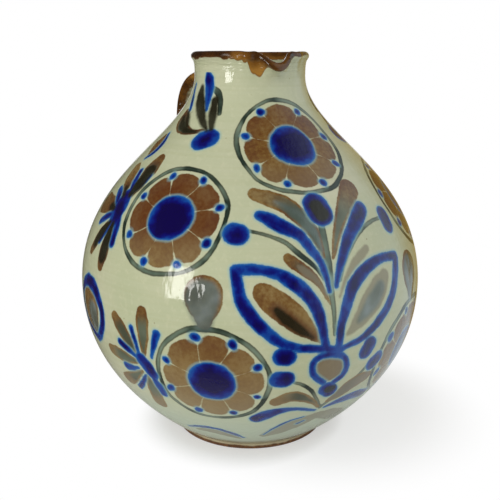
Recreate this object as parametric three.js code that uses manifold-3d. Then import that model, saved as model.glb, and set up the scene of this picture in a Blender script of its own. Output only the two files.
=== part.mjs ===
// A wheel-thrown stoneware jug. The belly is thrown as two halves, the collar is thrown onto the
// shoulder, the lip is a coil rolled onto the collar and pinched into a spout, the foot ring is
// keyed under the bowl and the strap handle is pulled and set on the neck and the shoulder.
// Units are millimetres and degrees, +Z is up. The origin is the centre of the standing face.
// +X is the way the jug pours, and the handle is on the -X side.
import * as THREE from "three";
import { mergeVertices } from "three/addons/utils/BufferGeometryUtils.js";
import Module from "manifold-3d";

// Driving dimensions: the outside of the pot
const HEIGHT = 270; // standing face to the crest of the lip
const BELLY_RADIUS = 120.5; // widest ring
const BELLY_HEIGHT = 111.5; // widest ring above the standing face
const NECK_RADIUS = 38; // narrowest ring
const NECK_DROP = 15.5; // narrowest ring below the crest of the lip
const LIP_OVERHANG = 2.4; // how far the rolled lip stands out past the narrowest ring
const LIP_FLARE = 35; // lean of the lip away from upright
const FOOT_RADIUS = 55; // edge of the standing face
const FOOT_HEIGHT = 3.5; // standing face to the underside of the bowl
const FOOT_FLARE = 36; // slope of the wall where it leaves the foot

// How full the curves are: each is a share of the rise or the run between two rings
const BOWL_START_FULLNESS = 0.72;
const BOWL_END_FULLNESS = 0.36;
const SHOULDER_START_FULLNESS = 0.545;
const SHOULDER_END_FULLNESS = 0.27;
const LIP_START_FULLNESS = 0.75;
const LIP_END_FULLNESS = 0.3;

// Wall thickness
const BELLY_WALL = 6;
const NECK_WALL = 5;
const LIP_WALL = 6;
const FLOOR = 8;
const FLOOR_FILLET = 6; // height of the round between the floor and the wall

// Joints between the pieces of clay
const SLIP = 0.3; // the film of liquid clay that bonds two pieces
const BELLY_LAP = 6; // height of the tongue at each lapped joint
const COLLAR_LAP = 5;
const LIP_LAP = 2;
const COLLAR_LENGTH = 40; // wall of the collar below the narrowest ring
const LIP_LENGTH = 12; // wall of the lip coil, measured down from its top
const FOOT_WIDTH = 10; // standing face of the ring
const FOOT_KEY_WIDTH = 5;
const FOOT_KEY_HEIGHT = 3;

// Pinched spout
const SPOUT_DEPTH = 24; // how far below the crest the wall starts to bend
const SPOUT_BEND = 62; // lean of the wall at the crest of the spout
const SPOUT_SHORTENING = 0.15; // share of the bent wall that the fingers press down
const SPOUT_HALF_ANGLE = 22;
const FOLD_BEND = 13; // the rim folds out a little on either side of the spout
const FOLD_ANGLE = 26;
const FOLD_HALF_ANGLE = 11;

// Pulled handle
const HANDLE_WIDTH = 26;
const HANDLE_THICKNESS = 11;
const HANDLE_DROP = 24; // centre of the upper root below the crest of the lip
const HANDLE_FOOT_RADIUS = 88; // centre of the lower root, from the jug's axis
const HANDLE_LEAVES = new THREE.Vector2(40, 22); // pull away from the neck
const HANDLE_ARRIVES = new THREE.Vector2(30, 48); // fall onto the shoulder
const HANDLE_SKEW = 5; // the handle was set this far off the line of the spout
const ROOT_SPREAD = 0.3; // how much wider and thicker the strap is at its roots
const ROOT_LENGTH = 0.16; // share of the strap's length that a root takes

// Facets
const BELLY_SEGMENTS = 48;
const NECK_SEGMENTS = 96;
const CURVE_STEP = 11; // longest step along a curved wall
const FILLET_STEPS = 3;
const CROWN_STEPS = 6;
const STRAP_STEPS = 26;
const STRAP_SIDES = 14;
const HALVINGS = 40; // how often a search along the wall halves its range

const { degToRad, lerp, smoothstep } = THREE.MathUtils;
const wasm = await Module();
wasm.setup();

// The outside of the pot, from the underside of the bowl to the end of the lip, as radius and height
const flare = degToRad(FOOT_FLARE);
const lipLean = degToRad(LIP_FLARE);
const bowlBase = new THREE.Vector2(FOOT_RADIUS, FOOT_HEIGHT);
const bellyRing = new THREE.Vector2(BELLY_RADIUS, BELLY_HEIGHT);
const neckRing = new THREE.Vector2(NECK_RADIUS, HEIGHT - NECK_DROP);
const lipRound = LIP_WALL / 2; // radius of the lip's half-round top
const lipEnd = new THREE.Vector2(
  NECK_RADIUS + LIP_OVERHANG - lipRound * (1 - Math.sin(lipLean) - Math.cos(lipLean)),
  HEIGHT - lipRound * (1 - Math.cos(lipLean) + Math.sin(lipLean)),
);

const bowlRun = (BOWL_START_FULLNESS * (bellyRing.x - bowlBase.x)) / Math.cos(flare);
const bowlRise = bellyRing.y - bowlBase.y;
const shoulderRise = neckRing.y - bellyRing.y;
const lipRise = lipEnd.y - neckRing.y;
const lipRun = (LIP_END_FULLNESS * lipRise) / Math.cos(lipLean);

const bowlCurve = new THREE.CubicBezierCurve(
  bowlBase,
  new THREE.Vector2(bowlBase.x + bowlRun * Math.cos(flare), bowlBase.y + bowlRun * Math.sin(flare)),
  new THREE.Vector2(bellyRing.x, bellyRing.y - BOWL_END_FULLNESS * bowlRise),
  bellyRing,
);
const shoulderCurve = new THREE.CubicBezierCurve(
  bellyRing,
  new THREE.Vector2(bellyRing.x, bellyRing.y + SHOULDER_START_FULLNESS * shoulderRise),
  new THREE.Vector2(neckRing.x, neckRing.y - SHOULDER_END_FULLNESS * shoulderRise),
  neckRing,
);
const lipCurve = new THREE.CubicBezierCurve(
  neckRing,
  new THREE.Vector2(neckRing.x, neckRing.y + LIP_START_FULLNESS * lipRise),
  new THREE.Vector2(lipEnd.x - lipRun * Math.sin(lipLean), lipEnd.y - lipRun * Math.cos(lipLean)),
  lipEnd,
);
const outside = new THREE.CurvePath();
outside.curves.push(bowlCurve, shoulderCurve, lipCurve);

// Places along the outside, measured up the wall from the underside of the bowl
const [atBelly, atNeck, atEnd] = outside.getCurveLengths();
const atCollar = atNeck - COLLAR_LENGTH;
const atLip = atEnd - LIP_LENGTH;

function wallAt(along) {
  if (along < atBelly) return BELLY_WALL;
  if (along < atNeck) return lerp(BELLY_WALL, NECK_WALL, (along - atBelly) / (atNeck - atBelly));
  return lerp(NECK_WALL, LIP_WALL, (along - atNeck) / (atEnd - atNeck));
}

// A point in the wall: along is up the outside, and depth is square to it, inwards.
function inWall(along, depth) {
  const point = outside.getPoint(along / atEnd);
  const tangent = outside.getTangent(along / atEnd);
  return new THREE.Vector2(point.x - depth * tangent.y, point.y + depth * tangent.x);
}

// Points on one face of the wall. depthAt gives the depth of that face.
function alongWall(from, to, depthAt) {
  const steps = Math.max(1, Math.ceil(Math.abs(to - from) / CURVE_STEP));
  return Array.from({ length: steps + 1 }, (_, i) => {
    const along = lerp(from, to, i / steps);
    return inWall(along, depthAt(along));
  });
}

// The stretch of outside that each thrown piece shows, from the joint below it to the joint above
const crownBase = atEnd - lipRound;
const bowlStretch = [0, atBelly];
const shoulderStretch = [atBelly + SLIP, atCollar];
const collarStretch = [atCollar + SLIP, atLip];
const lipStretch = [atLip + SLIP, crownBase];

// The faces of a wall, as depths
const outerFace = () => 0;
const slipFace = () => -SLIP;
const innerFace = (along) => wallAt(along);
const tongueFace = (along) => wallAt(along) / 2 + SLIP / 2;
const skirtFace = (along) => wallAt(along) / 2 - SLIP / 2;

// The upper edge of a section: a ledge outside, and a tongue that stands up inside it.
function tongueEdge(along, lap) {
  const top = along + lap;
  return [inWall(along, tongueFace(along)), inWall(top, tongueFace(top)), inWall(top, innerFace(top))];
}

// The lower edge of a section: a skirt outside, which hangs over the tongue of the section below.
function skirtEdge(along, lap) {
  return [inWall(along + lap + SLIP, skirtFace(along + lap)), inWall(along + SLIP, skirtFace(along))];
}

// A solid of revolution from a closed outline of radius and height, standing on +Z.
function turned(outline, segments) {
  return new THREE.LatheGeometry([...outline, outline[0]], segments).rotateX(Math.PI / 2);
}

// The bend that the potter's fingers give the rim: a trough with a fold on either side. The wall
// rolls outwards on an arc, which keeps its thickness.
function pinchSpout(geometry) {
  const position = geometry.getAttribute("position");
  const hinge = HEIGHT - SPOUT_DEPTH;
  const middle = NECK_RADIUS - NECK_WALL / 2;
  const point = new THREE.Vector3();
  for (let i = 0; i < position.count; i++) {
    point.fromBufferAttribute(position, i);
    const rise = point.z - hinge;
    const turn = Math.abs(THREE.MathUtils.radToDeg(Math.atan2(point.y, point.x)));
    const trough = hump(turn / SPOUT_HALF_ANGLE);
    const fold = hump((turn - FOLD_ANGLE) / FOLD_HALF_ANGLE);
    const lean = (degToRad(SPOUT_BEND * trough + FOLD_BEND * fold) * rise) / SPOUT_DEPTH;
    if (lean <= 0) continue;
    const length = rise * (1 - SPOUT_SHORTENING * trough);
    const radius = Math.hypot(point.x, point.y);
    const off = radius - middle;
    const bent = middle + (length * (1 - Math.cos(lean))) / lean + off * Math.cos(lean);
    const height = hinge + (length * Math.sin(lean)) / lean - off * Math.sin(lean);
    position.setXYZ(i, (point.x * bent) / radius, (point.y * bent) / radius, height);
  }
  return geometry;
}

// A smooth hump that is 1 at 0 and ends at -1 and 1
function hump(x) {
  return Math.abs(x) < 1 ? Math.cos((Math.PI / 2) * x) ** 2 : 0;
}

function solidOf(geometry) {
  const bare = geometry.clone();
  bare.deleteAttribute("normal");
  bare.deleteAttribute("uv");
  const merged = mergeVertices(bare, 1e-3);
  return new wasm.Manifold(
    new wasm.Mesh({
      numProp: 3,
      vertProperties: merged.attributes.position.array,
      triVerts: new Uint32Array(merged.index.array),
    }),
  );
}

function geometryOf(solid) {
  const { vertProperties, triVerts } = solid.getMesh();
  const made = new THREE.BufferGeometry();
  made.setAttribute("position", new THREE.BufferAttribute(vertProperties, 3));
  made.setIndex(new THREE.BufferAttribute(triVerts, 1));
  made.computeVertexNormals();
  return made;
}

// Lower half of the belly, with the floor and the groove that the foot ring keys into
function makeLowerBowl() {
  const keyMiddle = FOOT_RADIUS - FOOT_WIDTH / 2;
  const keyReach = FOOT_KEY_WIDTH / 2 + SLIP;
  const keyTop = FOOT_HEIGHT + FOOT_KEY_HEIGHT + SLIP;
  const floorTop = FOOT_HEIGHT + FLOOR;
  const inside = alongWall(atBelly + BELLY_LAP, 0, innerFace).filter((p) => p.y > floorTop + FLOOR_FILLET);
  const wallFoot = inside.at(-1);
  const knee = new THREE.Vector2(wallFoot.x - (wallFoot.y - floorTop) / Math.tan(flare), floorTop);
  const floorEdge = new THREE.Vector2(2 * knee.x - wallFoot.x, floorTop);
  const fillet = new THREE.QuadraticBezierCurve(wallFoot, knee, floorEdge).getPoints(FILLET_STEPS);
  return turned(
    [
      new THREE.Vector2(0, FOOT_HEIGHT),
      new THREE.Vector2(keyMiddle - keyReach, FOOT_HEIGHT),
      new THREE.Vector2(keyMiddle - keyReach, keyTop),
      new THREE.Vector2(keyMiddle + keyReach, keyTop),
      new THREE.Vector2(keyMiddle + keyReach, FOOT_HEIGHT),
      ...alongWall(...bowlStretch, outerFace),
      ...tongueEdge(atBelly, BELLY_LAP),
      ...inside.slice(1),
      ...fillet.slice(1),
      new THREE.Vector2(0, floorTop),
    ],
    BELLY_SEGMENTS,
  );
}

// Upper half of the belly, from the widest ring to the joint with the collar
function makeShoulder() {
  return turned(
    [
      ...alongWall(...shoulderStretch, outerFace),
      ...tongueEdge(atCollar, COLLAR_LAP),
      ...alongWall(atCollar + COLLAR_LAP, atBelly + BELLY_LAP + SLIP, innerFace).slice(1),
      ...skirtEdge(atBelly, BELLY_LAP),
    ],
    BELLY_SEGMENTS,
  );
}

// Neck of the jug, up to the joint with the lip coil
function makeCollar() {
  return pinchSpout(
    turned(
      [
        ...alongWall(...collarStretch, outerFace),
        ...tongueEdge(atLip, LIP_LAP),
        ...alongWall(atLip + LIP_LAP, atCollar + COLLAR_LAP + SLIP, innerFace).slice(1),
        ...skirtEdge(atCollar, COLLAR_LAP),
      ],
      NECK_SEGMENTS,
    ),
  );
}

// Coil that is rolled onto the collar and pinched into the spout, with a half-round top
function makeLip() {
  const crown = Array.from({ length: CROWN_STEPS + 1 }, (_, i) => {
    const turn = (Math.PI * i) / CROWN_STEPS;
    return inWall(crownBase + lipRound * Math.sin(turn), lipRound - lipRound * Math.cos(turn));
  });
  return pinchSpout(
    turned(
      [
        ...alongWall(...lipStretch, outerFace).slice(0, -1),
        ...crown,
        inWall(atLip + LIP_LAP + SLIP, wallAt(atLip + LIP_LAP)),
        ...skirtEdge(atLip, LIP_LAP),
      ],
      NECK_SEGMENTS,
    ),
  );
}

// Ring that the jug stands on. Its key sits in the groove under the bowl.
function makeFootRing() {
  const middle = FOOT_RADIUS - FOOT_WIDTH / 2;
  const top = FOOT_HEIGHT - SLIP;
  const keyTop = FOOT_HEIGHT + FOOT_KEY_HEIGHT;
  return turned(
    [
      new THREE.Vector2(FOOT_RADIUS - FOOT_WIDTH, 0),
      new THREE.Vector2(FOOT_RADIUS, 0),
      new THREE.Vector2(FOOT_RADIUS, top),
      new THREE.Vector2(middle + FOOT_KEY_WIDTH / 2, top),
      new THREE.Vector2(middle + FOOT_KEY_WIDTH / 2, keyTop),
      new THREE.Vector2(middle - FOOT_KEY_WIDTH / 2, keyTop),
      new THREE.Vector2(middle - FOOT_KEY_WIDTH / 2, top),
      new THREE.Vector2(FOOT_RADIUS - FOOT_WIDTH, top),
    ],
    BELLY_SEGMENTS,
  );
}

// The place on the shoulder or the neck where a measure that grows on the way up has a wanted value
function alongWhere(measure, wanted) {
  let [low, high] = [atBelly, atNeck];
  for (let i = 0; i < HALVINGS; i++) {
    const middle = (low + high) / 2;
    if (measure(outside.getPoint(middle / atEnd)) < wanted) low = middle;
    else high = middle;
  }
  return low;
}

// Strap from the neck to the shoulder, cut to the wall at both roots
function makeHandle() {
  const upper = inWall(alongWhere((p) => p.y, HEIGHT - HANDLE_DROP), NECK_WALL / 2);
  const lower = inWall(alongWhere((p) => -p.x, -HANDLE_FOOT_RADIUS), BELLY_WALL / 2);
  const line = new THREE.CubicBezierCurve(
    upper,
    upper.clone().add(HANDLE_LEAVES),
    lower.clone().add(HANDLE_ARRIVES),
    lower,
  );
  const positions = [];
  for (let i = 0; i <= STRAP_STEPS; i++) {
    const along = i / STRAP_STEPS;
    const centre = line.getPointAt(along);
    const tangent = line.getTangentAt(along);
    const toRoot = Math.min(along, 1 - along) / ROOT_LENGTH;
    const swell = 1 + ROOT_SPREAD * (1 - smoothstep(toRoot, 0, 1));
    for (let j = 0; j < STRAP_SIDES; j++) {
      const turn = (2 * Math.PI * j) / STRAP_SIDES;
      const across = (HANDLE_WIDTH / 2) * swell * Math.cos(turn);
      const out = (HANDLE_THICKNESS / 2) * swell * Math.sin(turn);
      positions.push(-(centre.x - out * tangent.y), across, centre.y + out * tangent.x);
    }
  }
  const strap = solidOf(skinned(positions, STRAP_SIDES).rotateZ(degToRad(HANDLE_SKEW)));
  const stretches = [bowlStretch, shoulderStretch, collarStretch, lipStretch];
  const slipLine = stretches.flatMap((stretch) => alongWall(...stretch, slipFace));
  const wallBlank = turned(
    [new THREE.Vector2(0, FOOT_HEIGHT), ...slipLine, new THREE.Vector2(0, slipLine.at(-1).y)],
    NECK_SEGMENTS,
  );
  return geometryOf(strap.subtract(solidOf(wallBlank)));
}

// A closed skin over rings of points, with a flat cap on the first and the last ring
function skinned(positions, sides) {
  const rings = positions.length / 3 / sides;
  const index = [];
  for (let i = 0; i < rings - 1; i++) {
    for (let j = 0; j < sides; j++) {
      const [a, b] = [i * sides + j, i * sides + ((j + 1) % sides)];
      index.push(a, b + sides, b, a, a + sides, b + sides);
    }
  }
  const last = (rings - 1) * sides;
  for (let j = 1; j < sides - 1; j++) {
    index.push(0, j, j + 1);
    index.push(last, last + j + 1, last + j);
  }
  const skin = new THREE.BufferGeometry();
  skin.setAttribute("position", new THREE.Float32BufferAttribute(positions, 3));
  skin.setIndex(index);
  return skin;
}

const celadon = new THREE.MeshStandardMaterial({ color: "#b4b795", roughness: 0.22, metalness: 0 });
const ironBrown = new THREE.MeshStandardMaterial({ color: "#5d3512", roughness: 0.2, metalness: 0 });
const bareClay = new THREE.MeshStandardMaterial({ color: "#6b4526", roughness: 0.8, metalness: 0 });

function piece(name, geometry, material) {
  const mesh = new THREE.Mesh(geometry, material);
  mesh.name = name;
  return mesh;
}

const jug = new THREE.Group();
jug.add(
  piece("foot_ring", makeFootRing(), bareClay),
  piece("lower_bowl", makeLowerBowl(), celadon),
  piece("shoulder", makeShoulder(), celadon),
  piece("collar", makeCollar(), celadon),
  piece("lip", makeLip(), ironBrown),
  piece("handle", makeHandle(), ironBrown),
);

export default jug;
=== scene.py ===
# %% [markdown]
# # A hand-painted stoneware jug
# The jug was modelled first as solids, and that imported model is the frame that everything here hangs
# on. Loading it gives one object for each solid, in metres and in place. None of them is moved or
# reshaped: each is later hidden behind a finer piece with the same outline.

# %% Load the frame
import math
from functools import partialmethod

import bmesh
import bpy
import numpy as np
from mathutils import Matrix


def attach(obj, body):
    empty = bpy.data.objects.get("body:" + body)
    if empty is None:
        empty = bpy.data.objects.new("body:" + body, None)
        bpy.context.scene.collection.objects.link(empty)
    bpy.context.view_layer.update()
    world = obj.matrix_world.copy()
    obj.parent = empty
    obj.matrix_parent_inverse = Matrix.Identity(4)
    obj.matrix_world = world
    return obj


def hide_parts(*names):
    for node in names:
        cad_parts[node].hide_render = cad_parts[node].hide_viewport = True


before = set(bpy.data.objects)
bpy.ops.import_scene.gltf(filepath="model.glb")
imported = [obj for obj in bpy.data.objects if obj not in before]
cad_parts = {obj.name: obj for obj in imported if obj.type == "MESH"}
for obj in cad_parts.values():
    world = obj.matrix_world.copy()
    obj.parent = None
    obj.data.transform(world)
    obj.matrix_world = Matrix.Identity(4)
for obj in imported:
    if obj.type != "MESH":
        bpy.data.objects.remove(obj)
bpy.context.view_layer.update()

print("solids:", ", ".join(sorted(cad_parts)))

# %% [markdown]
# ## The camera
# The picture was taken from a little left of the spout and from just under the height of the rim,
# looking down at the belly. A camera that is set by its turn round the jug, its distance and its height
# is easy to check against a real tripod, so those are the values here. The lens was found from the
# outline of the jug: it is a normal one, and it needs no shift.

# %% Camera on its tripod
MM = 0.001
CAMERA_TURN = -24.3  # degrees round the jug from the way it pours
CAMERA_DISTANCE = 524.4 * MM
CAMERA_HEIGHT = 264.1 * MM
CAMERA_DIP = 14.35  # degrees below level
CAMERA_LENS = 53.4  # millimetres


def round_jug(degrees, distance, height):
    """A place at a turn round the jug, a distance from its axis and a height."""
    angle = math.radians(degrees)
    return distance * math.cos(angle), distance * math.sin(angle), height


def facing_jug(data, turn, distance, height, dip):
    """Sets up a camera or a lamp that faces the axis of the jug, some degrees below level."""
    standing = bpy.data.objects.new(data.name, data)
    standing.location = round_jug(turn, distance, height)
    standing.rotation_euler = (math.radians(90 - dip), 0, math.radians(90 + turn))
    bpy.context.collection.objects.link(standing)
    print(data.name, "at", [round(value, 3) for value in standing.location])
    return standing


camera_data = bpy.data.cameras.new("tripod_camera")
camera_data.lens = CAMERA_LENS
camera = facing_jug(camera_data, CAMERA_TURN, CAMERA_DISTANCE, CAMERA_HEIGHT, CAMERA_DIP)
bpy.context.scene.camera = camera

# %% [markdown]
# ## The outline of the pot
# A thrown pot is a line turned round an axis, so one outline carries almost the whole shape. It is three
# cubic curves: the bowl from the foot to the widest ring, the shoulder from there to the neck, and the
# flare of the lip. Points on it are found by the distance up the wall, because that is how a potter or a
# painter would measure on the clay.

# %% Outside of the wall, as radius and height in millimetres
FOOT_RADIUS = 55.0
FOOT_HEIGHT = 3.5
FOOT_SLOPE = math.radians(36)
LIP_LEAN = math.radians(35)
LIP_ROUND = 3.0  # radius of the rounded top of the lip
BOWL_BASE = np.array([FOOT_RADIUS, FOOT_HEIGHT])
BELLY_RING = np.array([120.5, 111.5])
NECK_RING = np.array([38.0, 254.5])
LIP_END = np.array([41.58, 267.68])
# How long a curve keeps the direction of its lower and upper end, as shares of its width or height
BOWL_KEEPS = 0.72, 0.36
SHOULDER_KEEPS = 0.545, 0.27
LIP_KEEPS = 0.75, 0.3
CURVE_POINTS = 500


def bowed(start, start_pull, end_pull, end, count=CURVE_POINTS):
    """A cubic curve that leaves start towards one pull and reaches end from the other."""
    share = np.linspace(0, 1, count)[:, None]
    back = 1 - share
    leaving = back**3 * start + 3 * back**2 * share * start_pull
    return leaving + 3 * back * share**2 * end_pull + share**3 * end


def measured(line):
    """How far along a line each of its points is, and which way the line goes there."""
    along = np.concatenate([[0], np.cumsum(np.hypot(*np.diff(line, axis=0).T))])
    ways = np.gradient(line, along, axis=0)
    return along, ways / np.hypot(*ways.T)[:, None]


bowl_run = BOWL_KEEPS[0] * (BELLY_RING[0] - BOWL_BASE[0]) / math.cos(FOOT_SLOPE)
bowl_leaves = BOWL_BASE + bowl_run * np.array([math.cos(FOOT_SLOPE), math.sin(FOOT_SLOPE)])
bowl_arrives = BELLY_RING - [0, BOWL_KEEPS[1] * (BELLY_RING[1] - FOOT_HEIGHT)]
bowl_line = bowed(BOWL_BASE, bowl_leaves, bowl_arrives, BELLY_RING)
shoulder_rise = NECK_RING[1] - BELLY_RING[1]
shoulder_leaves = BELLY_RING + [0, SHOULDER_KEEPS[0] * shoulder_rise]
shoulder_arrives = NECK_RING - [0, SHOULDER_KEEPS[1] * shoulder_rise]
shoulder_line = bowed(BELLY_RING, shoulder_leaves, shoulder_arrives, NECK_RING)
lip_rise = LIP_END[1] - NECK_RING[1]
lip_run = LIP_KEEPS[1] * lip_rise / math.cos(LIP_LEAN)
lip_arrives = LIP_END - lip_run * np.array([math.sin(LIP_LEAN), math.cos(LIP_LEAN)])
lip_line = bowed(NECK_RING, NECK_RING + [0, LIP_KEEPS[0] * lip_rise], lip_arrives, LIP_END)

wall = np.vstack([bowl_line, shoulder_line[1:], lip_line[1:]])
climb, slope = measured(wall)
AT_BELLY = climb[len(bowl_line) - 1]
AT_NECK = climb[len(bowl_line) + len(shoulder_line) - 2]
AT_END = climb[-1]
print("wall climbs", round(AT_BELLY), round(AT_NECK), round(AT_END), "mm to the belly, the neck and the lip")

# %% [markdown]
# The wall has a thickness, so a point is found by how far up the wall it is and how deep in it. The same
# two numbers give the outside, the inside and the laps where the pieces of clay were joined.

# %% Points in the thickness of the wall
BELLY_WALL = 6.0
NECK_WALL = 5.0
LIP_WALL = 6.0
THIN_ROW = 0.05  # the first and last rows of a piece, so that two pieces share one shine


def in_wall(along, depth=0.0):
    """Radius and height of points up the outside, at a depth square to it."""
    along = np.atleast_1d(np.asarray(along, float))
    radius = np.interp(along, climb, wall[:, 0]) - depth * np.interp(along, climb, slope[:, 1])
    height = np.interp(along, climb, wall[:, 1]) + depth * np.interp(along, climb, slope[:, 0])
    return np.column_stack([radius, height])


def thickness(along):
    """The wall thins from the belly to the neck and swells again in the lip."""
    return np.interp(along, [0, AT_BELLY, AT_NECK, AT_END], [BELLY_WALL, BELLY_WALL, NECK_WALL, LIP_WALL])


def inside_wall(start, end, step):
    """Points on the inner face, from one place up the wall to another."""
    along = np.linspace(start, end, max(2, round(abs(end - start) / step) + 1))
    return in_wall(along, thickness(along))


def outside_wall(start, end, step):
    """Points on the outer face, with a thin row at both ends."""
    along = np.linspace(start, end, round((end - start) / step) + 1)
    return in_wall(np.concatenate([[start, start + THIN_ROW], along[1:-1], [end - THIN_ROW, end]]))


def wall_radius(height):
    """Radius of the outside at a height, both in millimetres."""
    return np.interp(height, wall[:, 1], wall[:, 0])


print("wall is", BELLY_WALL, "mm at the belly and", NECK_WALL, "mm at the neck")

# %% [markdown]
# ## Throwing on the wheel
# A closed outline that is spun round the axis gives a watertight piece, which is what a wheel does to
# clay. Each step of a spin walks over all that is there already, so a whole turn of a fine outline is
# slow. Here one wedge is spun, and then the wedge is doubled until it closes the circle. The edges of the
# wedges and the points on the axis are merged, and the normals are worked out afresh after that. Edges
# sharper than the limit stay crisp and everything else is shaded smooth.

# %% Spin an outline into a piece
DOUBLINGS = 5  # how often the first wedge is doubled
WEDGES = 2**DOUBLINGS
MERGED = 0.001 * MM  # points closer than this become one
CRISP = 38  # degrees


def thrown(outline, segments):
    """A closed outline of radius and height, turned once round the axis."""
    clay = bmesh.new()
    points = [clay.verts.new((radius * MM, 0, height * MM)) for radius, height in outline]
    pairs = zip(points, points[1:] + points[:1])
    edges = [clay.edges.new(pair) for pair in pairs if pair[0].co.x > 0 or pair[1].co.x > 0]
    wedge = 2 * math.pi / WEDGES
    wheel = {"cent": (0, 0, 0), "axis": (0, 0, 1), "angle": wedge, "steps": segments // WEDGES}
    bmesh.ops.spin(clay, geom=points + edges, **wheel)
    for doubling in range(DOUBLINGS):
        copied = bmesh.ops.duplicate(clay, geom=clay.verts[:] + clay.edges[:] + clay.faces[:])["geom"]
        moved = [part for part in copied if isinstance(part, bmesh.types.BMVert)]
        turned = Matrix.Rotation(wedge * 2**doubling, 3, "Z")
        bmesh.ops.rotate(clay, cent=(0, 0, 0), matrix=turned, verts=moved)
    bmesh.ops.remove_doubles(clay, verts=clay.verts, dist=MERGED)
    bmesh.ops.recalc_face_normals(clay, faces=clay.faces)
    return clay


def fired(name, clay, crisp=CRISP):
    """Makes the finished object from the clay. Edges sharper than crisp degrees stay crisp."""
    mesh = bpy.data.meshes.new(name)
    clay.to_mesh(mesh)
    clay.free()
    mesh.shade_smooth()
    mesh.set_sharp_from_angle(angle=math.radians(crisp))
    piece = bpy.data.objects.new(name, mesh)
    bpy.context.collection.objects.link(piece)
    print(name, "has", len(mesh.vertices), "points and", len(mesh.polygons), "faces")
    return piece


# %% [markdown]
# ## Foot ring
# The ring that the jug stands on is trimmed from bare clay. A potter rounds its edges with a wet sponge so
# that they don't chip, so the outline gets small chamfers on its two lower edges. It keys into a groove
# under the bowl, as the solid does.

# %% Foot ring
FOOT_WIDTH = 10.0
KEY_WIDTH = 5.0
KEY_HEIGHT = 3.0
SLIP = 0.3  # the film that bonds two pieces of clay
EDGE = 0.7  # rounding of the standing edges
EDGE_CUT = 0.3 * EDGE  # where the middle of the chamfer lies
FOOT_TURNS = 256

foot_in = FOOT_RADIUS - FOOT_WIDTH
key_in = FOOT_RADIUS - FOOT_WIDTH / 2 - KEY_WIDTH / 2
key_out = key_in + KEY_WIDTH
key_top = FOOT_HEIGHT + KEY_HEIGHT
foot_outline = [
    *[(foot_in, EDGE), (foot_in + EDGE_CUT, EDGE_CUT), (foot_in + EDGE, 0)],
    *[(FOOT_RADIUS - EDGE, 0), (FOOT_RADIUS - EDGE_CUT, EDGE_CUT), (FOOT_RADIUS, EDGE)],
    *[(FOOT_RADIUS, FOOT_HEIGHT), (key_out, FOOT_HEIGHT), (key_out, key_top)],
    *[(key_in, key_top), (key_in, FOOT_HEIGHT), (foot_in, FOOT_HEIGHT)],
]
foot_ring = fired("foot_ring_clay", thrown(foot_outline, FOOT_TURNS))

# %% [markdown]
# ## Lower bowl and shoulder
# The belly is thrown as two bowls and joined rim to rim at the widest ring. The outside needs a fine mesh,
# with cells of little more than a millimetre, because the painting is stored on its points. The inside
# carries no painting, so it has far fewer rows. The lower bowl ends in a tongue, and the shoulder hangs
# over it with a skirt.

# %% Lower bowl
SKIN_STEP = 1.15  # rows of the painted outside
INSIDE_STEP = 12.0
BELLY_TURNS = 640
BELLY_LAP = 6.0
COLLAR_LAP = 5.0
COLLAR_LENGTH = 40.0
AT_COLLAR = AT_NECK - COLLAR_LENGTH
FLOOR_TOP = 11.5
FLOOR_ROUND = 6.0  # how far above the floor the wall starts to round into it
FLOOR_ROWS = 7


def tongue(along, lap):
    """The inner half of the wall, standing up past the joint."""
    top = along + lap
    half = [thickness(along) / 2 + SLIP / 2, thickness(top) / 2 + SLIP / 2, thickness(top)]
    return np.vstack([in_wall(along, half[0]), in_wall(top, half[1]), in_wall(top, half[2])])


def skirt(along, lap):
    """The outer half of the wall, hanging down over the tongue of the piece below."""
    half = [thickness(along + lap) / 2 - SLIP / 2, thickness(along) / 2 - SLIP / 2]
    return np.vstack([in_wall(along + lap + SLIP, half[0]), in_wall(along, half[1])])


bowl_inside = inside_wall(AT_BELLY + BELLY_LAP, 0, INSIDE_STEP)
bowl_inside = bowl_inside[bowl_inside[:, 1] > FLOOR_TOP + FLOOR_ROUND]
wall_end = bowl_inside[-1]
over_floor = wall_end[1] - FLOOR_TOP
floor_knee = wall_end - [over_floor / math.tan(FOOT_SLOPE), over_floor]
floor_edge = np.array([2 * floor_knee[0] - wall_end[0], FLOOR_TOP])
bowl_outline = np.vstack(
    [
        [(0, FOOT_HEIGHT), (key_in - SLIP, FOOT_HEIGHT), (key_in - SLIP, key_top + SLIP)],
        [(key_out + SLIP, key_top + SLIP), (key_out + SLIP, FOOT_HEIGHT)],
        outside_wall(0, AT_BELLY, SKIN_STEP),
        tongue(AT_BELLY, BELLY_LAP),
        bowl_inside[1:],
        bowed(wall_end, floor_knee, floor_knee, floor_edge, FLOOR_ROWS)[1:],
        [(0, FLOOR_TOP)],
    ]
)
lower_bowl = fired("lower_bowl_glazed", thrown(bowl_outline, BELLY_TURNS))

# %% Shoulder
shoulder_outline = np.vstack(
    [
        outside_wall(AT_BELLY, AT_COLLAR, SKIN_STEP),
        tongue(AT_COLLAR, COLLAR_LAP),
        inside_wall(AT_COLLAR + COLLAR_LAP, AT_BELLY + BELLY_LAP + SLIP, INSIDE_STEP)[1:],
        skirt(AT_BELLY, BELLY_LAP),
    ]
)
shoulder = fired("shoulder_glazed", thrown(shoulder_outline, BELLY_TURNS))

# %% [markdown]
# ## Collar and lip
# The neck is a short cylinder thrown onto the shoulder, and the lip is a roll of clay with a round top.
# Both are spun straight first. The spout comes after the painting is stored, so that brush marks are
# measured on the straight wall and then travel with the clay when the rim is bent.

# %% Collar and lip, still straight
NECK_STEP = 0.7
NECK_INSIDE_STEP = 2.0
NECK_TURNS = 480
LIP_LAP = 2.0
LIP_LENGTH = 12.0
AT_LIP = AT_END - LIP_LENGTH
CROWN_STEPS = 16

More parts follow.
